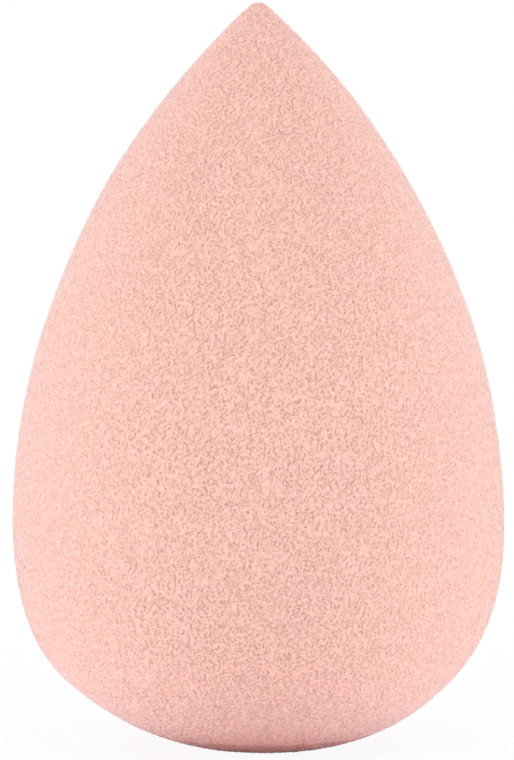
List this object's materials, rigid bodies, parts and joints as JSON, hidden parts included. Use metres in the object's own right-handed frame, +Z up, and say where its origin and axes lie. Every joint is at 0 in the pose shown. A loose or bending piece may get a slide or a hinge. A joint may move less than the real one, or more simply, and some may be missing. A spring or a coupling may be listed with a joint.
{
  "type": "makeup sponge",
  "caption": "Teardrop makeup sponge of fine open-cell foam: a pointed tip for detail, a full rounded belly for dabbing and blending, and a small flat foot to stand on.",
  "frame": {"origin": "centre of the flat foot, on the surface that the sponge stands on", "axes": "+Z up the sponge's axis of revolution, from the foot to the tip; +X to the right in the picture"},
  "size_m": [0.0396, 0.0396, 0.06],
  "materials": {
    "foam": "matte open-cell foam, pale peach pink, fine pores"
  },
  "bodies": {
    "root": {"foam_body": "foam"}
  },
  "joints": []
}
